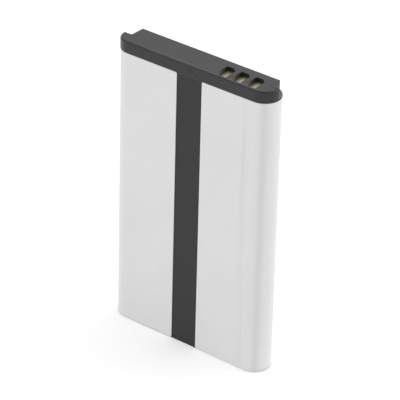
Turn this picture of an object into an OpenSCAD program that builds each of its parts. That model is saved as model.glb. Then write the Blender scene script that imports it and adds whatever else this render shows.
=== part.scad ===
// Flat lithium-ion pack for a handheld navigation device
// X runs across the width, the front faces -Y, +Z is up, origin in the middle of the resting face

/* [Pack] */
// Width over the label
pack_w = 34.5; // [28:0.25:45]
// Thickness over the label
pack_t = 6.2; // [5.1:0.1:9]
// Height from the resting face to the top of the cap
pack_h = 57.3; // [40:0.1:80]
// Half length of the flat that the pack stands on
rest_half = 8; // [5:0.5:11]
// How far the lower edge rises from that flat to each end
end_rise = 0.3; // [0.1:0.05:0.5]

/* [Films] */
// Thickness of the light label
label_t = 0.12; // [0.08:0.01:0.2]
// Thickness of the dark sleeve under the label
sleeve_t = 0.1; // [0.08:0.01:0.2]
// Width of sleeve left bare between the label's two ends
strip_w = 5.63; // [3:0.01:9]
// Radius of the label's die-cut corners
label_corner_r = 0.3; // [0.1:0.05:1]
// Height of the label's lower edge at its right end
label_low = 0.06; // [0.04:0.01:0.5]
// How much higher the label's lower edge is at its left end
label_climb = 0.16; // [0.05:0.01:0.5]
// Height of the sleeve's lower edge
sleeve_low = 0.03; // [0.02:0.01:0.3]

/* [Top cap] */
// Height of the band of the cap that stands above the label
cap_band_h = 2.25; // [2:0.05:4]
// How far the band stands out over the label
cap_proud = 0.08; // [0:0.01:0.2]
// Radius of the cap's upper edge
cap_edge_r = 0.4; // [0.1:0.05:0.6]
// Radius of the band's lower edge
cap_foot_r = 0.15; // [0.05:0.05:0.25]
// Thickness of the cap's top wall
cap_top_t = 0.9; // [0.6:0.05:1.2]
// Thickness of the cap's side wall under the films
cap_wall = 0.5; // [0.4:0.05:0.7]
// Depth of the skirt that reaches down to the cell
skirt_h = 2.55; // [2.4:0.05:4]

/* [Latch notches] */
// Length of the left notch from the end of the pack
notch_left = 1.8; // [1.5:0.05:3]
// Length of the right notch from the end of the pack
notch_right = 2.2; // [1.5:0.05:3]
// Depth of each notch below the top
notch_depth = 1.65; // [1:0.05:1.7]
// Distance of the notch's front wall in front of the centre plane
notch_front = 0.25; // [-1:0.05:1]
// Radius of the notch's inner corner
notch_r = 0.3; // [0.1:0.05:0.6]
// Radius of the edge of the ledge that the notch leaves
ledge_r = 0.25; // [0.1:0.05:0.35]
// Wall between a notch and the board's pocket
notch_wall = 0.65; // [0.5:0.05:1]

/* [Contact windows] */
// Width of one window
window_w = 2.25; // [1.8:0.05:2.8]
// Length of one window, front to rear
window_l = 3.65; // [3:0.05:3.8]
// Spacing of the windows
window_pitch = 3.18; // [2.9:0.02:3.6]
// Distance from the right end of the pack to the middle of the last window
window_inset = 4.61; // [4.2:0.01:6]
// Wall left in front of the windows
window_front = 0.6; // [0.5:0.05:0.7]
// Radius of the windows' corners
window_r = 0.15; // [0.1:0.05:0.4]
// Cut across the rear right corner of each window, along each side
window_cut = 0.75; // [0.3:0.05:1]
// How far the left wall of each window leans in at its front end
window_lean = 0.5; // [0.1:0.05:0.6]
// Length of that leaning stretch of wall
window_lean_l = 2.1; // [1.5:0.05:2.4]
// Clearance of a contact in its window, all round
contact_gap = 0.12; // [0.08:0.01:0.3]
// Board left bare between its long edges and a contact's ends
contact_border = 0.1; // [0.05:0.01:0.3]
// Thickness of a contact at its crown
contact_t = 0.2; // [0.15:0.01:0.4]
// Radius of a contact's crown across its width
crown_r = 12; // [6:0.5:30]

/* [Gate mark] */
// Width of the recess round the gate mark
gate_w = 0.95; // [0.6:0.05:1.5]
// Height of that recess below the top
gate_h = 1.35; // [1:0.05:1.8]
// Depth of that recess
gate_d = 0.05; // [0.03:0.01:0.15]
// Distance of the gate mark to the right of the middle
gate_x = 0.15; // [-5:0.05:5]

/* [Cell] */
// Radius of the can's lower edge
can_foot_r = 0.5; // [0.2:0.05:1]
// Length of the terminal gasket
gasket_l = 6.4; // [5:0.1:8]
// Width of the terminal gasket
gasket_w = 3.2; // [2.6:0.1:3.4]
// Thickness of the terminal gasket
gasket_t = 0.35; // [0.25:0.05:0.6]
// Length of the rivet's head
rivet_l = 3.2; // [2.4:0.1:4]
// Width of the rivet's head
rivet_w = 2.4; // [2:0.1:2.6]
// Diameter of the rivet's shank
shank_d = 1.4; // [1:0.1:1.8]
// Diameter of the filling hole
fill_d = 1.2; // [0.8:0.1:1.6]
// Distance of the filling hole to the left of the middle
fill_x = 6; // [4.2:0.1:9]

/* [Bottom] */
// Thickness of the bottom cap
bottom_t = 0.9; // [0.7:0.05:1.5]
// Radius of the bottom cap's lower edge
bottom_edge_r = 0.15; // [0.05:0.05:0.3]
// Thickness of the adhesive tape
tape_t = 0.1; // [0.06:0.01:0.2]
// Bare border round the tape
tape_border = 1.1; // [0.8:0.1:2]

/* [Board] */
// Thickness of the board
board_t = 0.8; // [0.6:0.1:1]
// Clearance of the board in its pocket, all round
board_gap = 0.15; // [0.1:0.01:0.3]
// Diameter of the pegs that the board is staked on
peg_d = 0.9; // [0.7:0.05:1.1]
// Distance of the pegs from the board's left end
peg_inset = 3.3; // [3:0.1:4]
// Distance of each peg's centre from the board's long edge
peg_edge = 0.85; // [0.8:0.05:1]
// How far the pegs reach below the board
peg_over = 0.3; // [0.2:0.05:0.6]

/* [Leads] */
// Thickness of the nickel strip
nickel_t = 0.15; // [0.1:0.01:0.2]
// Width of the nickel strip
nickel_w = 2.5; // [2:0.1:3]
// Length of a tab's foot
tab_foot = 1.6; // [1.2:0.1:2]
// Distance of a tab from the end of the board
tab_inset = 0.7; // [0.3:0.05:1.2]
// Outer radius of a tab's bends
bend_r = 0.35; // [0.2:0.05:0.5]
// Length of the weld plate
plate_l = 4; // [3.6:0.1:4.4]
// Width of the weld plate
plate_w = 3; // [2.6:0.1:3.2]
// Thickness of the paper on the lid, of the weld plate and of the rivet's head
lid_paper_t = 0.2; // [0.15:0.01:0.3]
// Length of the thermal cutout's body
cutout_l = 6; // [5:0.1:6.5]
// Width of the thermal cutout's body
cutout_w = 3.2; // [2.6:0.1:3.4]
// Thickness of the thermal cutout's body
cutout_t = 0.8; // [0.6:0.05:1]

/* [Hidden] */
$fn = 96;

// Extra reach of a cutting body past the face that it opens
slack = 1;
// Small clearance round a piece pushed into its hole
fit_gap = 0.02;
// Clearance of the paper round the metal that comes through it
paper_gap = 0.2;
// How far the weld plate reaches past the tab on it
plate_lead = 0.1;
// Bare lead between the negative tab and the cutout's body
cutout_clear = 0.6;
// Rim of the rivet's head past the end of the cutout's lead
rivet_rim = 0.3;

// Corner radii
board_corner_r = 0.4;
tape_corner_r = 0.5;
gasket_corner_r = 0.5;
rivet_corner_r = 0.6;
plate_corner_r = 0.3;
cutout_corner_r = 0.3;

// Radii of the round ends, from the label inwards
end_r = pack_t / 2;
sleeve_r = end_r - label_t;
can_r = sleeve_r - sleeve_t;
cavity_r = can_r - cap_wall;
band_r = end_r + cap_proud;
half_straight = pack_w / 2 - end_r;

// Heights, from the top down
ledge_z = pack_h - notch_depth;
band_z = pack_h - cap_band_h;
board_top_z = pack_h - cap_top_t;
board_z = board_top_z - board_t;
lid_z = band_z - skirt_h;
lead_z = lid_z + lid_paper_t;

// Board and its pocket
pocket_l = pack_w - 2 * (max(notch_left, notch_right) + notch_wall);
board_l = pocket_l - 2 * board_gap;
board_w = 2 * (cavity_r - board_gap);
peg_x = peg_inset - board_l / 2;
peg_y = board_w / 2 - peg_edge;

// Middle of the windows, front to rear
window_y = window_front + window_l / 2 - end_r;

// Tabs, weld plate and cutout
tab_x = board_l / 2 - tab_inset;
plate_x = tab_x - plate_l / 2 + plate_lead;
cutout_x = cutout_l / 2 + cutout_clear + tab_foot - tab_x;

// Places of the board's parts, from its left end
transistor_at = 7.4;
chip_at = 12.8;
thermistor_at = 15.4;
passives_at = 16.7;
passive_pitch = 1.1;
passive_row = 1;

function window_x(i) = pack_w / 2 - window_inset - (2 - i) * window_pitch;
function on_board(at) = at - board_l / 2;
function label_foot(x) = label_low + label_climb * (0.5 - x / pack_w);

// Outlines

// What a fillet takes off a corner at the origin whose material lies towards -x and -y
module corner_cut(r) {
    translate([-r, -r])
        difference() {
            square(r + slack);
            circle(r);
        }
}

module rounded_rect(l, w, r) {
    square([l - 2 * r, w], center = true);
    square([l, w - 2 * r], center = true);
    for (x = [-1, 1], y = [-1, 1])
        translate([x * (l / 2 - r), y * (w / 2 - r)])
            circle(r);
}

// Half section of a plate out to radius r, with its outer edges rounded
module plate_section(r, z0, z1, top_r = 0, foot_r = 0) {
    difference() {
        translate([0, z0])
            square([r, z1 - z0]);
        if (top_r > 0)
            translate([r, z1])
                corner_cut(top_r);
        if (foot_r > 0)
            translate([r, z0])
                mirror([0, 1])
                    corner_cut(foot_r);
    }
}

// Half section of a film between two radii
module film_section(inner_r, outer_r, z0, z1) {
    translate([inner_r, z0])
        square([outer_r - inner_r, z1 - z0]);
}

// Carries a half section, x out from the centre line and y up, round the pack's outline
module round_outline() {
    for (side = [-1, 1])
        translate([side * half_straight, 0, 0])
            rotate([0, 0, -90 * side])
                rotate_extrude(angle = 180)
                    children();
    rotate([90, 0, 90])
        linear_extrude(2 * half_straight, center = true)
            for (side = [0, 1])
                mirror([side, 0])
                    children();
}

// Turns an outline drawn in x and z to face the front, as deep as d to each side
module through_thickness(d) {
    rotate([90, 0, 0])
        linear_extrude(2 * d, center = true)
            children();
}

// The slow rise of the lower edge towards both ends
module end_relief(low) {
    run = pack_w / 2 - rest_half;
    arc_r = (run * run + end_rise * end_rise) / (2 * end_rise);
    through_thickness(pack_t)
        for (side = [0, 1])
            mirror([side, 0])
                translate([rest_half, low])
                    difference() {
                        translate([0, -slack])
                            square([run + slack, end_rise + 2 * slack]);
                        translate([0, arc_r])
                            circle(arc_r, $fn = 720);
                    }
}

// Casing

// The opening between the label's two ends, with the label's rounded corners
module front_gap() {
    rotate([90, 0, 0])
        linear_extrude(end_r + slack) {
            translate([-strip_w / 2, -slack])
                square([strip_w, band_z + 2 * slack]);
            for (side = [-1, 1])
                translate([side * strip_w / 2, 0])
                    mirror([(side + 1) / 2, 0]) {
                        translate([0, band_z])
                            corner_cut(label_corner_r);
                        translate([0, label_foot(side * strip_w / 2)])
                            mirror([0, 1])
                                corner_cut(label_corner_r);
                    }
        }
}

module label_wrap() {
    color("gainsboro")
        difference() {
            round_outline()
                film_section(sleeve_r, end_r, 0, band_z);
            front_gap();
            through_thickness(pack_t)
                polygon([
                    [-pack_w, label_foot(-pack_w)],
                    [-pack_w, -slack],
                    [pack_w, -slack],
                    [pack_w, label_foot(pack_w)]
                ]);
            end_relief(label_low);
        }
}

module insulating_sleeve() {
    color("dimgray")
        difference() {
            round_outline()
                film_section(can_r, sleeve_r, sleeve_low, band_z);
            end_relief(sleeve_low);
        }
}

// One notch in the rear right corner, with the rounded edge of the ledge below it
module latch_notch(l) {
    reach = l + cap_proud + slack;
    rear = notch_front + band_r + slack;
    translate([pack_w / 2 - l, -notch_front, ledge_z])
        linear_extrude(notch_depth + slack) {
            translate([notch_r, notch_r])
                circle(notch_r);
            translate([notch_r, 0])
                square([reach - notch_r, rear]);
            translate([0, notch_r])
                square([reach, rear - notch_r]);
        }
    intersection() {
        translate([pack_w / 2 - l, -notch_front, ledge_z - ledge_r])
            cube([reach, rear, 2 * ledge_r]);
        round_outline()
            translate([band_r, ledge_z])
                corner_cut(ledge_r);
    }
}

// Outline of a window, drawn in from its walls by the given inset
module window_outline(inset = 0) {
    difference() {
        rounded_rect(window_w - 2 * inset, window_l - 2 * inset, window_r);
        translate([window_w / 2, window_l / 2])
            rotate(45)
                translate([-window_cut / sqrt(2) - inset, -window_w])
                    square([window_w, 2 * window_w]);
        translate([window_lean - window_w / 2, -window_l / 2])
            rotate(atan2(window_lean, window_lean_l))
                translate([-slack, -slack])
                    square([slack + inset, slack + window_l]);
    }
}

module window(i) {
    translate([window_x(i), window_y, board_top_z])
        linear_extrude(cap_top_t + slack)
            window_outline();
}

// Recess in the front of the band, and the stub of the gate that stands in it
module gate_recess() {
    stub_r = 0.2;
    stub_h = 0.8;
    difference() {
        translate([gate_x - gate_w / 2, -band_r - slack, pack_h - gate_h])
            cube([gate_w, slack + gate_d, gate_h + slack]);
        translate([gate_x, gate_d - band_r, pack_h - gate_h - slack])
            cylinder(r = stub_r, h = stub_h + slack);
    }
}

// The stretch between the notches, whose rear edge runs straight up to both of them
module rear_block() {
    translate([notch_left - pack_w / 2, 0, 0])
        rotate([90, 0, 90])
            linear_extrude(pack_w - notch_left - notch_right)
                plate_section(band_r, band_z, pack_h, cap_edge_r, cap_foot_r);
}

module top_cap() {
    pocket_z = ledge_z - cap_wall;
    color("dimgray") {
        difference() {
            union() {
                round_outline() {
                    plate_section(band_r, band_z, pack_h, cap_edge_r, cap_foot_r);
                    plate_section(can_r, lid_z, board_z);
                }
                rear_block();
            }
            round_outline()
                plate_section(cavity_r, lid_z - slack, pocket_z);
            translate([0, 0, lid_z])
                linear_extrude(board_top_z - lid_z)
                    rounded_rect(pocket_l, 2 * cavity_r, board_corner_r);
            latch_notch(notch_right);
            mirror([1, 0, 0])
                latch_notch(notch_left);
            for (i = [0:2])
                window(i);
            gate_recess();
        }
        for (side = [-1, 1])
            translate([peg_x, side * peg_y, board_z - peg_over])
                cylinder(d = peg_d, h = board_t + peg_over + fit_gap);
    }
}

module bottom_cap() {
    color("dimgray")
        difference() {
            round_outline()
                plate_section(can_r, 0, bottom_t, foot_r = bottom_edge_r);
            end_relief(0);
            translate([0, 0, bottom_t - tape_t])
                linear_extrude(tape_t + slack)
                    tape_outline(fit_gap);
        }
}

module tape_outline(grow) {
    rounded_rect(
        pack_w - 2 * (tape_border + end_r) + 2 * grow,
        2 * (can_r - tape_border + grow),
        tape_corner_r + grow
    );
}

module bottom_tape() {
    color("wheat")
        translate([0, 0, bottom_t - tape_t])
            linear_extrude(tape_t)
                tape_outline(0);
}

// Cell and its terminal

module cell() {
    seam_w = 0.08;
    seam_d = 0.05;
    seam_in = 0.3;
    seam_r = can_r - seam_in;
    color("silver")
        difference() {
            round_outline()
                plate_section(can_r, bottom_t, lid_z, foot_r = can_foot_r);
            round_outline()
                film_section(seam_r - seam_w, seam_r, lid_z - seam_d, lid_z + slack);
            translate([0, 0, lid_z - gasket_t])
                linear_extrude(gasket_t + slack)
                    rounded_rect(gasket_l, gasket_w, gasket_corner_r);
            translate([-fill_x, 0, lid_z - gasket_t])
                cylinder(d = fill_d, h = gasket_t + slack);
        }
}

module terminal_gasket() {
    color("white")
        translate([0, 0, lid_z - gasket_t])
            linear_extrude(gasket_t)
                difference() {
                    rounded_rect(
                        gasket_l - 2 * fit_gap,
                        gasket_w - 2 * fit_gap,
                        gasket_corner_r - fit_gap
                    );
                    circle(d = shank_d + 2 * fit_gap);
                }
}

module terminal_rivet() {
    color("lightgray") {
        translate([0, 0, lid_z])
            linear_extrude(lid_paper_t)
                rounded_rect(rivet_l, rivet_w, rivet_corner_r);
        translate([0, 0, lid_z - gasket_t])
            cylinder(d = shank_d, h = gasket_t + fit_gap);
    }
}

module fill_plug() {
    color("gray")
        translate([-fill_x, 0, lid_z - gasket_t])
            cylinder(d = fill_d - 2 * fit_gap, h = gasket_t);
}

// Opening in the paper round a piece of metal with the given outline
module paper_opening(l, w, r) {
    rounded_rect(l + 2 * paper_gap, w + 2 * paper_gap, r + paper_gap);
}

module lid_insulator() {
    color("ivory")
        translate([0, 0, lid_z])
            difference() {
                round_outline()
                    plate_section(cavity_r - board_gap, 0, lid_paper_t);
                translate([0, 0, -slack])
                    linear_extrude(lid_paper_t + 2 * slack) {
                        paper_opening(rivet_l, rivet_w, rivet_corner_r);
                        translate([plate_x, 0])
                            paper_opening(plate_l, plate_w, plate_corner_r);
                    }
            }
}

// Leads

module positive_plate() {
    color("silver")
        translate([plate_x, 0, lid_z])
            linear_extrude(lid_paper_t)
                rounded_rect(plate_l, plate_w, plate_corner_r);
}

// A strip folded twice: a foot below, a riser at x = 0 and a foot above, both feet towards -x
module folded_tab(z0, z1) {
    h = z1 - z0;
    translate([-tab_foot, 0, z0])
        through_thickness(nickel_w / 2)
            intersection() {
                translate([0, h / 2])
                    difference() {
                        rounded_rect(2 * tab_foot, h, bend_r);
                        rounded_rect(
                            2 * (tab_foot - nickel_t),
                            h - 2 * nickel_t,
                            bend_r - nickel_t
                        );
                    }
                square([tab_foot, h]);
            }
}

module positive_tab() {
    color("silver")
        translate([tab_x, 0, 0])
            folded_tab(lead_z, board_z);
}

module negative_tab() {
    color("silver")
        mirror([1, 0, 0])
            translate([tab_x, 0, 0])
                folded_tab(lead_z + nickel_t, board_z);
}

module thermal_cutout() {
    rivet_end = rivet_l / 2 - rivet_rim;
    color("goldenrod") {
        translate([cutout_x, 0, lead_z])
            linear_extrude(cutout_t)
                rounded_rect(cutout_l, cutout_w, cutout_corner_r);
        translate([-tab_x, -nickel_w / 2, lead_z])
            cube([tab_x + rivet_end, nickel_w, nickel_t]);
    }
}

// Board and what is soldered to it

module circuit_board() {
    color("darkgreen")
        translate([0, 0, board_z])
            linear_extrude(board_t)
                difference() {
                    rounded_rect(board_l, board_w, board_corner_r);
                    for (side = [-1, 1])
                        translate([peg_x, side * peg_y])
                            circle(d = peg_d + 2 * fit_gap);
                }
}

// A gilt block with a crown across its width, seen through window i
module contact(i) {
    color("gold")
        translate([window_x(i), window_y, board_top_z])
            intersection() {
                linear_extrude(contact_t)
                    intersection() {
                        window_outline(contact_gap);
                        translate([0, -window_y])
                            square([window_w, board_w - 2 * contact_border], center = true);
                    }
                translate([0, 0, contact_t - crown_r])
                    rotate([90, 0, 0])
                        cylinder(r = crown_r, h = window_l, center = true, $fn = 720);
            }
}

module contact_minus() {
    contact(0);
}

module contact_middle() {
    contact(1);
}

module contact_plus() {
    contact(2);
}

// Places a part that is drawn standing on z = 0 under the board
module under_board(at, y = 0) {
    translate([on_board(at), y, board_z])
        rotate([180, 0, 0])
            children();
}

// A moulded package with rows of formed leads along both long sides
module leaded_package(body_l, body_w, body_h, span, leads, pitch, lead_w) {
    lead_t = 0.13;
    lead_foot = 0.5;
    stand = 0.05;
    draft = 0.08;
    mid = body_h / 2;
    knee = span / 2 - lead_foot;
    rotate([90, 0, 90])
        linear_extrude(body_l, center = true)
            polygon([
                [-body_w / 2, mid], [draft - body_w / 2, stand],
                [body_w / 2 - draft, stand], [body_w / 2, mid],
                [body_w / 2 - draft, body_h], [draft - body_w / 2, body_h]
            ]);
    for (i = [0:leads - 1], side = [0, 1])
        translate([(i - (leads - 1) / 2) * pitch, 0, 0])
            mirror([0, side, 0])
                rotate([90, 0, 90])
                    linear_extrude(lead_w, center = true)
                        polygon([
                            [body_w / 2 - draft, mid], [knee, mid],
                            [knee, 0], [span / 2, 0],
                            [span / 2, lead_t], [knee + lead_t, lead_t],
                            [knee + lead_t, mid + lead_t], [body_w / 2 - draft, mid + lead_t]
                        ]);
}

module protection_chip() {
    color("black")
        under_board(chip_at)
            leaded_package(
                body_l = 2.9, body_w = 1.6, body_h = 1.05,
                span = 2.8, leads = 3, pitch = 0.95, lead_w = 0.4
            );
}

module switch_transistor() {
    color("black")
        under_board(transistor_at)
            rotate([0, 0, 90])
                leaded_package(
                    body_l = 3, body_w = 4.4, body_h = 0.95,
                    span = 6.4, leads = 4, pitch = 0.65, lead_w = 0.25
                );
}

// A chip part with an end cap at each end, lying along y
module chip_part(l, w, h) {
    cap_l = l / 5;
    cap_over = 0.02;
    translate([-w / 2, -l / 2 + cap_over, cap_over])
        cube([w, l - 2 * cap_over, h - 2 * cap_over]);
    for (side = [0, 1])
        mirror([0, side, 0])
            translate([-w / 2 - cap_over, l / 2 - cap_l, 0])
                cube([w + 2 * cap_over, cap_l, h]);
}

module thermistor() {
    color("saddlebrown")
        under_board(thermistor_at)
            chip_part(l = 1.6, w = 0.8, h = 0.8);
}

module resistors() {
    color("black")
        for (i = [0:2])
            under_board(passives_at + i * passive_pitch, passive_row)
                chip_part(l = 1, w = 0.5, h = 0.35);
}

module capacitors() {
    color("peru")
        for (i = [0:1])
            under_board(passives_at + i * passive_pitch, -passive_row)
                chip_part(l = 1, w = 0.5, h = 0.5);
}

top_cap();
bottom_cap();
label_wrap();
insulating_sleeve();
cell();
terminal_gasket();
terminal_rivet();
fill_plug();
lid_insulator();
positive_plate();
positive_tab();
negative_tab();
thermal_cutout();
circuit_board();
contact_plus();
contact_middle();
contact_minus();
protection_chip();
switch_transistor();
thermistor();
resistors();
capacitors();
bottom_tape();
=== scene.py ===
import math

import bpy
from mathutils import Matrix, Vector


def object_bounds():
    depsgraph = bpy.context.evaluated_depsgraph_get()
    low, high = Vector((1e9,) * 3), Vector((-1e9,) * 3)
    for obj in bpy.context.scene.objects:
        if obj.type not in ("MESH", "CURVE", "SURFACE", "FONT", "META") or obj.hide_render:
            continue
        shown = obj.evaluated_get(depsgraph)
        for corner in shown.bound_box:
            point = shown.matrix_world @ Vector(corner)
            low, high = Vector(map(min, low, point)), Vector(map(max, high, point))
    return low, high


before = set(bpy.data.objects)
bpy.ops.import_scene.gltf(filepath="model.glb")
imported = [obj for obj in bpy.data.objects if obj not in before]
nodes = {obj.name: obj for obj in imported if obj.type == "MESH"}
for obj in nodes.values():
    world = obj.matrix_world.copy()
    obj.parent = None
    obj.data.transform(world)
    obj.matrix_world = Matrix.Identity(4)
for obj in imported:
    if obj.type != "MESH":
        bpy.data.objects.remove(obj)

cad_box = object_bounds()

# Sizes that the finishes line up with, in millimetres, as the model has them
HALF_STRAIGHT = 14.15
BAND_R = 3.18
PACK_H = 57.3
WINDOW_XS = (6.28, 9.46, 12.64)
WINDOW_Y = -0.675
WINDOW_FRONT = -2.65
WINDOW_REAR = 1.25
WINDOWS_REACH = 4.55
NOTCH_INNER_X = 15.05
NOTCH_FLOOR_Z = 55.55
NOTCH_FRONT_Y = -0.25
TURN_X = HALF_STRAIGHT + 1.9
CREASE_X = 12.6
TRANSISTOR_X = -6.85

# The camera's azimuth from the front (-Y) towards +X, elevation and roll in degrees, its place in
# metres, and its focal length in pixels of a picture this many pixels wide
CAMERA_ANGLES = (37.696, 29.699, 1.507)
CAMERA_PLACE = (0.264436, -0.341293, 0.275300)
FOCAL_PIXELS = 2760.872
PICTURE_PIXELS = 400
SENSOR_MM = 36

# How fast a glow of the studio light falls off round its middle: 7 makes it about 50 degrees wide
GLOW_FALL = 7

# Even light, and the glows as azimuth and elevation in degrees and strength
EVEN_LIGHT = 0.5
GLOWS = (
    (83, 8, 0.3),
    (128, 8, 1.25),
    (173, 8, 0.9),
    (218, 8, 0.45),
    (263, 8, 0.3),
    (308, 8, 0.8),
    (353, 8, 0.8),
    (98, 48, 0.3),
    (158, 48, 0.85),
    (310, 48, 0.4),
)

FLOOR_HALF = 1.6
FLOOR_GAP = 0.00002
FLOOR_GLOW = 0.38


# Camera at the photograph's viewing angle

def make_camera():
    az, el, roll = (math.radians(angle) for angle in CAMERA_ANGLES)
    back = Vector((math.sin(az) * math.cos(el), -math.cos(az) * math.cos(el), math.sin(el)))
    level = (-back).cross(Vector((0, 0, 1))).normalized()
    upright = level.cross(-back)
    right = math.cos(roll) * level + math.sin(roll) * upright
    up = -math.sin(roll) * level + math.cos(roll) * upright
    data = bpy.data.cameras.new("camera")
    data.sensor_fit = "HORIZONTAL"
    data.sensor_width = SENSOR_MM
    data.lens = FOCAL_PIXELS / PICTURE_PIXELS * SENSOR_MM
    data.clip_start = 0.01
    data.clip_end = 20
    camera = bpy.data.objects.new("camera", data)
    turned = Matrix((right, up, back)).transposed().to_4x4()
    camera.matrix_world = Matrix.Translation(CAMERA_PLACE) @ turned
    bpy.context.scene.collection.objects.link(camera)
    bpy.context.scene.camera = camera


# Node trees

class Finish:
    """A material made of nodes, with texture places in millimetres of the part's own frame."""

    def __init__(self, name, **values):
        self.material = bpy.data.materials.new(name)
        self.material.use_nodes = True
        self.tree = self.material.node_tree
        self.tree.nodes.clear()
        self.shader = self.add("BsdfPrincipled", **values)
        output = self.add("OutputMaterial")
        self.tree.links.new(self.shader.outputs[0], output.inputs["Surface"])
        self.mm = self.scaled(self.add("TexCoord").outputs["Object"], (1000, 1000, 1000))
        self.normal = None

    def add(self, kind, settings=None, **values):
        node = self.tree.nodes.new("ShaderNode" + kind)
        for key, value in (settings or {}).items():
            setattr(node, key, value)
        for key, value in values.items():
            self.put(node.inputs[key.replace("_", " ")], value)
        return node

    def put(self, socket, value):
        if isinstance(value, bpy.types.NodeSocket):
            self.tree.links.new(value, socket)
        elif isinstance(value, tuple) and len(value) == 3 and socket.type == "RGBA":
            socket.default_value = (*value, 1)
        else:
            socket.default_value = value

    def math(self, operation, *values):
        node = self.add("Math", {"operation": operation})
        for socket, value in zip(node.inputs, values):
            self.put(socket, value)
        return node.outputs[0]

    def times(self, first, *others):
        for other in others:
            first = self.math("MULTIPLY", first, other)
        return first

    def distance(self, value, centre):
        return self.math("ABSOLUTE", self.math("SUBTRACT", value, centre))

    def scaled(self, vector, scale):
        node = self.add("VectorMath", {"operation": "MULTIPLY"})
        self.put(node.inputs[0], vector)
        self.put(node.inputs[1], scale)
        return node.outputs[0]

    def xyz(self):
        return self.add("SeparateXYZ", Vector=self.mm).outputs

    def facing(self, axis):
        """How far the surface faces along an axis of the part, from -1 to 1."""
        normal = self.add("TexCoord").outputs["Normal"]
        return self.add("SeparateXYZ", Vector=normal).outputs[axis]

    def noise(self, scale, detail=2.0, stretch=(1, 1, 1), roughness=0.5, distortion=0.0):
        vector = self.mm if stretch == (1, 1, 1) else self.scaled(self.mm, stretch)
        return self.add(
            "TexNoise", Vector=vector, Scale=scale, Detail=detail,
            Roughness=roughness, Distortion=distortion,
        ).outputs["Fac"]

    def spots(self, scale):
        return self.add("TexVoronoi", Vector=self.mm, Scale=scale).outputs["Distance"]

    def remap(self, value, low, high, to_low=0.0, to_high=1.0, smooth=False):
        kind = "SMOOTHSTEP" if smooth else "LINEAR"
        node = self.add("MapRange", {"interpolation_type": kind})
        for socket, item in zip(node.inputs, (value, low, high, to_low, to_high)):
            self.put(socket, item)
        return node.outputs[0]

    def bell(self, value, centre, width):
        """1 at the centre and 0 a width away from it, to both sides."""
        return self.remap(self.distance(value, centre), 0.0, width, 1.0, 0.0, smooth=True)

    def blend(self, factor, first, second):
        node = self.add("Mix", {"data_type": "RGBA"})
        self.put(node.inputs[0], factor)
        self.put(node.inputs[6], first)
        self.put(node.inputs[7], second)
        return node.outputs[2]

    def bump(self, height, microns):
        values = {"Height": height, "Strength": 1.0, "Distance": microns * 1e-6}
        if self.normal is not None:
            values["Normal"] = self.normal
        self.normal = self.add("Bump", **values).outputs[0]

    def outward(self):
        """Distance from the pack's middle line, measured as its rounded outline is."""
        x, y, _ = self.xyz()
        past = self.math("MAXIMUM", self.math("SUBTRACT", self.math("ABSOLUTE", x), HALF_STRAIGHT), 0.0)
        return self.math("SQRT", self.math("ADD", self.times(past, past), self.times(y, y)))

    def done(self, colour=None, roughness=None):
        if colour is not None:
            self.put(self.shader.inputs["Base Color"], colour)
        if roughness is not None:
            self.put(self.shader.inputs["Roughness"], roughness)
        if self.normal is not None:
            self.put(self.shader.inputs["Normal"], self.normal)
        return self.material


def give(material, *names):
    for name in names:
        slots = nodes[name].data.materials
        slots.clear()
        slots.append(material)


# Moulded plastic of the two caps: spark-eroded grain, with a painted highlight on the front edge and
# painted light in the notches and windows

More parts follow.
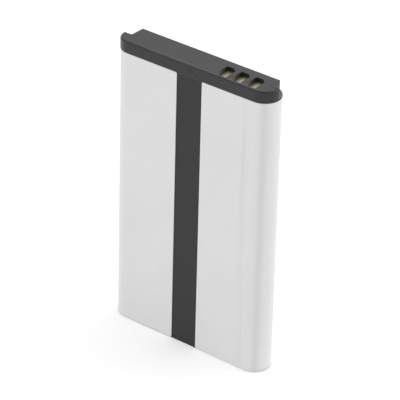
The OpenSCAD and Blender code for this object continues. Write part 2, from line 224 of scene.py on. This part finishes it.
def cap_plastic():
    f = Finish("cap_plastic_moulded")
    f.put(f.shader.inputs["Specular IOR Level"], 0.37)
    x, y, z = f.xyz()
    cloud = f.noise(0.22, 3)
    mottle = f.noise(2.6, 3)
    grain = f.noise(9.0, 2, roughness=0.6)
    tone = f.math("ADD", f.times(cloud, 0.35), f.times(mottle, 0.65))
    base = f.blend(f.remap(tone, 0.3, 0.7), (0.0165, 0.0166, 0.0166), (0.0212, 0.0212, 0.0210))
    speck = f.remap(f.spots(3.1), 0.10, 0.16, 1.0, 0.0)
    rare = f.remap(f.noise(1.7, 1), 0.60, 0.68)
    base = f.blend(f.times(speck, rare, 0.4), base, (0.05, 0.05, 0.049))

    # A painted highlight along the front edge of the face, further in towards the right end, broken up by
    # noise
    line_at = f.remap(x, 3.0, 13.0, BAND_R - 0.5, BAND_R - 0.8)
    line = f.bell(f.outward(), line_at, 0.42)
    flat = f.remap(z, PACK_H - 0.13, PACK_H - 0.04, 0.0, 1.0, smooth=True)
    front = f.times(f.remap(y, 0.0, -1.0), f.remap(x, 15.4, 14.6))
    stretch = f.remap(x, -12.0, -7.0, 0.0, 1.0, smooth=True)
    highlight_breakup = f.remap(f.noise(0.9, 4, roughness=0.6), 0.32, 0.62, 0.5, 1.0)
    edge_highlight = f.times(line, flat, front, stretch, highlight_breakup)
    base = f.blend(edge_highlight, base, (0.050, 0.050, 0.049))

    # The notches' walls are painted paler, more so deeper down: painted light on their inner walls
    ends = f.remap(f.math("ABSOLUTE", x), NOTCH_INNER_X - 0.05, NOTCH_INNER_X + 0.05)
    rear = f.remap(y, NOTCH_FRONT_Y - 0.05, NOTCH_FRONT_Y + 0.05)
    deep = f.remap(z, 57.2, 55.8, 0.15, 1.0)
    above = f.remap(z, NOTCH_FLOOR_Z - 0.05, NOTCH_FLOOR_Z + 0.07)
    base = f.blend(f.times(ends, rear, deep, above), base, (0.11, 0.11, 0.108))

    # The windows' left walls get a warm painted reflection of the gilt beside them, fading towards the
    # rear, and their rear walls a fainter painted one
    inside = f.times(
        f.remap(y, WINDOW_REAR + 0.05, WINDOW_REAR - 0.05),
        f.remap(y, WINDOW_FRONT - 0.05, WINDOW_FRONT + 0.05),
        f.remap(f.distance(x, WINDOW_XS[1]), WINDOWS_REACH + 0.05, WINDOWS_REACH - 0.05),
        f.remap(z, PACK_H - 0.03, PACK_H - 0.08),
    )
    left = f.times(f.remap(f.facing("X"), 0.5, 0.9), f.remap(y, 0.9, -2.2, 0.05, 1.0))
    base = f.blend(f.times(inside, left), base, (0.12, 0.102, 0.075))
    # Painted reflection on the windows' rear walls
    behind = f.remap(f.facing("Y"), -0.5, -0.9)
    base = f.blend(f.times(inside, behind), base, (0.026, 0.024, 0.020))

    rough = f.math("SUBTRACT", f.remap(grain, 0.3, 0.7, 0.27, 0.35), f.times(edge_highlight, 0.05))
    f.bump(cloud, 25)
    f.bump(mottle, 2.5)
    f.bump(grain, 2.2)
    return f.done(base, rough)


# Light film of the label: satin, a little wavy near the turn at its right end

def label_film():
    f = Finish("label_film_satin")
    x, y, z = f.xyz()
    cloud = f.noise(0.10, 2)
    mottle = f.noise(0.9, 3)
    fine = f.noise(7.0, 2)
    base = f.blend(f.remap(cloud, 0.3, 0.7), (0.636, 0.636, 0.633), (0.660, 0.660, 0.660))
    base = f.blend(f.remap(mottle, 0.35, 0.75, 0.0, 0.35), base, (0.626, 0.626, 0.620))

    # Handling marks: faint grey, mostly near the lower edge
    marks = f.remap(f.noise(0.55, 5, roughness=0.65), 0.60, 0.78)
    low = f.remap(z, 0.0, 9.0, 1.0, 0.25, smooth=True)
    base = f.blend(f.times(marks, low, 0.25), base, (0.52, 0.515, 0.50))

    # The film is a little darker along its lowest half millimetre
    base = f.blend(f.remap(z, 0.1, 0.6, 0.16, 0.0, smooth=True), base, (0.50, 0.495, 0.48))

    # Painted shade: the film is painted a little grey where it turns off the flat, and fine lines of
    # painted shade from its ripples run down beside the turn
    turn = f.times(f.bell(x, TURN_X, 0.9), f.remap(y, -1.4, -1.8))
    base = f.blend(f.times(turn, 0.5), base, (0.53, 0.53, 0.53))
    lines = f.remap(f.noise(2.0, 2, stretch=(1, 1, 0.02)), 0.42, 0.62, 0.0, 0.5)
    beside = f.times(f.bell(x, CREASE_X, 1.8), f.remap(y, -2.6, -3.0))
    base = f.blend(f.times(beside, lines), base, (0.55, 0.55, 0.55))

    f.bump(f.noise(1.0, 2, stretch=(0.55, 0.55, 0.03)), 26)
    f.bump(f.times(f.bell(x, CREASE_X, 1.3), f.noise(0.12, 1, stretch=(0.2, 0.2, 1))), 60)
    f.bump(mottle, 2.0)
    f.bump(fine, 0.5)
    return f.done(base, f.remap(mottle, 0.3, 0.7, 0.36, 0.46))


# Dark film of the sleeve, bare in the strip between the label's ends

def sleeve_film():
    f = Finish("sleeve_film_dark")
    f.put(f.shader.inputs["Specular IOR Level"], 0.40)
    z = f.xyz()["Z"]
    cloud = f.noise(0.16, 2)
    mottle = f.noise(2.2, 3)
    streaks = f.noise(1.6, 3, stretch=(1, 1, 0.04))
    tone = f.math("ADD", f.times(streaks, 0.5), f.times(mottle, 0.5))
    base = f.blend(f.remap(tone, 0.3, 0.7), (0.0080, 0.0080, 0.0079), (0.0114, 0.0113, 0.0110))
    base = f.blend(f.remap(z, 45.0, 5.0, 0.0, 0.6), base, (0.0102, 0.0092, 0.0084))
    lint = f.remap(f.spots(2.3), 0.07, 0.11, 1.0, 0.0)
    rare = f.remap(f.noise(1.1, 1), 0.62, 0.68)
    base = f.blend(f.times(lint, rare, 0.35), base, (0.06, 0.06, 0.057))
    f.bump(cloud, 14)
    f.bump(streaks, 3)
    f.bump(mottle, 1.5)
    return f.done(base, f.remap(streaks, 0.3, 0.7, 0.38, 0.48))


# Metals

def metal(name, dark, light, rough, stretch, grain, microns, stain=None):
    f = Finish(name, Metallic=1.0)
    lines = f.noise(grain, 4, stretch=stretch, roughness=0.65)
    cloud = f.noise(0.5, 3)
    base = f.blend(f.remap(lines, 0.3, 0.7), dark, light)
    if stain:
        base = f.blend(f.remap(cloud, 0.52, 0.75, 0.0, 0.6), base, stain)
    f.bump(lines, microns)
    return f.done(base, f.remap(cloud, 0.3, 0.7, rough - 0.05, rough + 0.07))


def gilt():
    """Gilt over nickel, with the wipe marks that spring pins leave along the contact, and a paler band
    down each contact that is partly wiped wear and partly a painted highlight.
    """
    f = Finish("gilt_flash", Metallic=1.0)
    x, y, _ = f.xyz()
    wipes = f.noise(5.0, 3, stretch=(1, 0.06, 1), roughness=0.6)
    cloud = f.noise(1.3, 3)
    base = f.blend(f.remap(wipes, 0.3, 0.7), (0.36, 0.31, 0.21), (0.48, 0.42, 0.30))
    # Paler band down the middle of each contact: partly wiped wear, partly a painted highlight
    left, middle, right = (f.bell(x, centre + 0.25, 0.40) for centre in WINDOW_XS)
    glint_and_wipe_track = f.math("MAXIMUM", f.math("MAXIMUM", left, middle), right)
    glint_and_wipe_travel = f.bell(y, WINDOW_Y - 0.3, 1.3)
    worn_and_glint = f.times(glint_and_wipe_track, glint_and_wipe_travel, f.remap(wipes, 0.35, 0.6))
    base = f.blend(f.times(worn_and_glint, 0.7), base, (0.70, 0.66, 0.55))
    rough = f.math("SUBTRACT", f.remap(cloud, 0.3, 0.7, 0.36, 0.46), f.times(worn_and_glint, 0.06))
    f.bump(wipes, 2.5)
    f.bump(cloud, 3)
    return f.done(base, rough)


# Insides

def board_laminate():
    """Solder mask over copper on the faces, bare glass laminate on the sawn edges."""
    f = Finish("board_solder_mask")
    x, y, _ = f.xyz()
    weave = f.times(f.math("SINE", f.times(x, 14.0)), f.math("SINE", f.times(y, 14.0)))
    copper = f.remap(f.noise(0.55, 1), 0.48, 0.50)
    mask = f.blend(copper, (0.012, 0.055, 0.024), (0.025, 0.120, 0.048))
    mask = f.blend(f.remap(f.noise(3.0, 3), 0.4, 0.7, 0.0, 0.3), mask, (0.02, 0.07, 0.03))
    side = f.remap(f.math("ABSOLUTE", f.facing("Z")), 0.4, 0.6, 1.0, 0.0)
    fibres = f.noise(4.0, 3, stretch=(1, 1, 6))
    edge = f.blend(fibres, (0.30, 0.27, 0.15), (0.48, 0.44, 0.27))
    f.bump(weave, 1.5)
    f.bump(copper, 12)
    return f.done(f.blend(side, mask, edge), f.remap(side, 0.0, 1.0, 0.30, 0.75))


def capped(name, axis, centre, reach, dark, light, rough):
    """A body whose ends or leads are tinned, further than reach from a centre along an axis."""
    f = Finish(name)
    tin = f.remap(f.distance(f.xyz()[axis], centre), reach - 0.01, reach + 0.01)
    grain = f.noise(11.0, 3)
    body = f.blend(f.remap(grain, 0.35, 0.65), dark, light)
    solder = f.blend(f.noise(3.5, 3), (0.55, 0.55, 0.54), (0.75, 0.75, 0.74))
    f.bump(grain, 3)
    f.put(f.shader.inputs["Metallic"], tin)
    return f.done(f.blend(tin, body, solder), f.remap(tin, 0.0, 1.0, rough, 0.28))


def insulator_paper():
    f = Finish("insulator_fibre_paper")
    fibres = f.noise(2.4, 5, stretch=(1, 0.3, 1), roughness=0.7, distortion=0.8)
    cross = f.noise(2.4, 5, stretch=(0.3, 1, 1), roughness=0.7, distortion=0.8)
    both = f.times(f.math("ADD", fibres, cross), 0.5)
    f.bump(both, 12)
    base = f.blend(f.remap(both, 0.35, 0.65), (0.62, 0.56, 0.40), (0.80, 0.75, 0.60))
    return f.done(base, f.remap(both, 0.3, 0.7, 0.80, 0.95))


def clear_film(name, dark, light, rough):
    """Film or tape with creases, and the lines of its winding across the part."""
    f = Finish(name)
    x, y, _ = f.xyz()
    lap = f.math("SINE", f.times(f.math("ADD", x, f.times(y, 0.35)), 3.2))
    crease = f.noise(0.9, 4, roughness=0.6, distortion=0.6)
    base = f.blend(f.remap(crease, 0.3, 0.7), dark, light)
    f.bump(f.remap(lap, 0.92, 1.0), 10)
    f.bump(crease, 14)
    return f.done(base, f.remap(crease, 0.3, 0.7, rough - 0.05, rough + 0.08))


def natural_plastic():
    f = Finish("gasket_natural_plastic")
    cloud = f.noise(1.2, 3)
    fine = f.noise(10.0, 2)
    f.bump(cloud, 5)
    f.bump(fine, 1.5)
    base = f.blend(f.remap(cloud, 0.3, 0.7), (0.72, 0.71, 0.66), (0.83, 0.82, 0.78))
    return f.done(base, f.remap(fine, 0.3, 0.7, 0.30, 0.42))


def dress_insides():
    give(metal(
        "can_drawn", (0.66, 0.66, 0.67), (0.82, 0.82, 0.83), rough=0.36,
        stretch=(1, 1, 0.03), grain=6.0, microns=4, stain=(0.55, 0.55, 0.55),
    ), "cell")
    give(metal(
        "rivet_pressed", (0.60, 0.60, 0.61), (0.76, 0.76, 0.77), rough=0.34,
        stretch=(1, 1, 1), grain=4.0, microns=6,
    ), "terminal_rivet", "fill_plug")
    give(metal(
        "nickel_rolled", (0.52, 0.50, 0.46), (0.70, 0.68, 0.63), rough=0.30,
        stretch=(0.04, 1, 1), grain=8.0, microns=3, stain=(0.45, 0.41, 0.34),
    ), "positive_plate", "positive_tab", "negative_tab")
    give(natural_plastic(), "terminal_gasket")
    give(insulator_paper(), "lid_insulator")
    give(clear_film("cutout_amber_film", (0.34, 0.17, 0.03), (0.62, 0.36, 0.08), 0.22), "thermal_cutout")
    give(clear_film("tape_transfer", (0.62, 0.56, 0.40), (0.78, 0.73, 0.58), 0.30), "bottom_tape")
    give(board_laminate(), "circuit_board")
    resin = {"dark": (0.012, 0.012, 0.013), "light": (0.03, 0.03, 0.03), "rough": 0.55}
    give(capped("chip_resin", "Y", 0.0, 0.8, **resin), "protection_chip")
    give(capped("transistor_resin", "X", TRANSISTOR_X, 2.2, **resin), "switch_transistor")
    give(capped(
        "thermistor_glaze", "Y", 0.0, 0.48, (0.10, 0.045, 0.02), (0.20, 0.10, 0.05), 0.40,
    ), "thermistor")
    give(capped(
        "resistor_glaze", "Y", 1.0, 0.30, (0.008, 0.008, 0.010), (0.03, 0.03, 0.035), 0.30,
    ), "resistors")
    give(capped(
        "capacitor_ceramic", "Y", -1.0, 0.30, (0.34, 0.22, 0.12), (0.50, 0.34, 0.20), 0.55,
    ), "capacitors")


# Floor and studio light

def make_floor():
    mesh = bpy.data.meshes.new("floor")
    corners = [(x * FLOOR_HALF, y * FLOOR_HALF, 0) for x, y in ((-1, -1), (1, -1), (1, 1), (-1, 1))]
    mesh.from_pydata(corners, [], [(0, 1, 2, 3)])
    floor = bpy.data.objects.new("floor", mesh)
    floor.location.z = cad_box[0][2] - FLOOR_GAP
    bpy.context.scene.collection.objects.link(floor)
    f = Finish("floor_pale_card")
    mesh.materials.append(f.done(f.blend(f.noise(0.004, 2), (0.70, 0.70, 0.70), (0.72, 0.72, 0.72)), 0.9))
    f.put(f.shader.inputs["Specular IOR Level"], 0.0)
    f.put(f.shader.inputs["Emission Color"], (1, 1, 1))
    f.put(f.shader.inputs["Emission Strength"], FLOOR_GLOW)


def polar(azimuth, elevation):
    """A direction from the part, at an azimuth counted from the front (-Y) towards +X."""
    a, e = math.radians(azimuth), math.radians(elevation)
    return (math.sin(a) * math.cos(e), -math.cos(a) * math.cos(e), math.sin(e))


def make_world():
    """Even light, and large soft glows round the pack like those of a light tent."""
    world = bpy.data.worlds.new("studio")
    bpy.context.scene.world = world
    world.use_nodes = True
    tree = world.node_tree
    direction = tree.nodes.new("ShaderNodeTexCoord").outputs["Generated"]

    def joined(kind, operation, *values):
        node = tree.nodes.new(kind)
        node.operation = operation
        for socket, value in zip(node.inputs, values):
            if isinstance(value, bpy.types.NodeSocket):
                tree.links.new(value, socket)
            else:
                socket.default_value = value
        return node.outputs["Value"]

    total = EVEN_LIGHT
    for azimuth, elevation, strength in GLOWS:
        facing = joined("ShaderNodeVectorMath", "DOT_PRODUCT", direction, polar(azimuth, elevation))
        away = joined("ShaderNodeMath", "MULTIPLY_ADD", facing, GLOW_FALL, -GLOW_FALL)
        glow = joined("ShaderNodeMath", "EXPONENT", away)
        total = joined("ShaderNodeMath", "MULTIPLY_ADD", glow, strength, total)
    background = tree.nodes["Background"]
    background.inputs["Color"].default_value = (1, 1, 1, 1)
    tree.links.new(total, background.inputs["Strength"])


make_camera()
give(cap_plastic(), "top_cap", "bottom_cap")
give(label_film(), "label_wrap")
give(sleeve_film(), "insulating_sleeve")
give(gilt(), "contact_plus", "contact_middle", "contact_minus")
dress_insides()
make_floor()
make_world()

view = bpy.context.scene.view_settings
view.view_transform = "Standard"
view.look = "None"
view.exposure = 0
view.gamma = 1
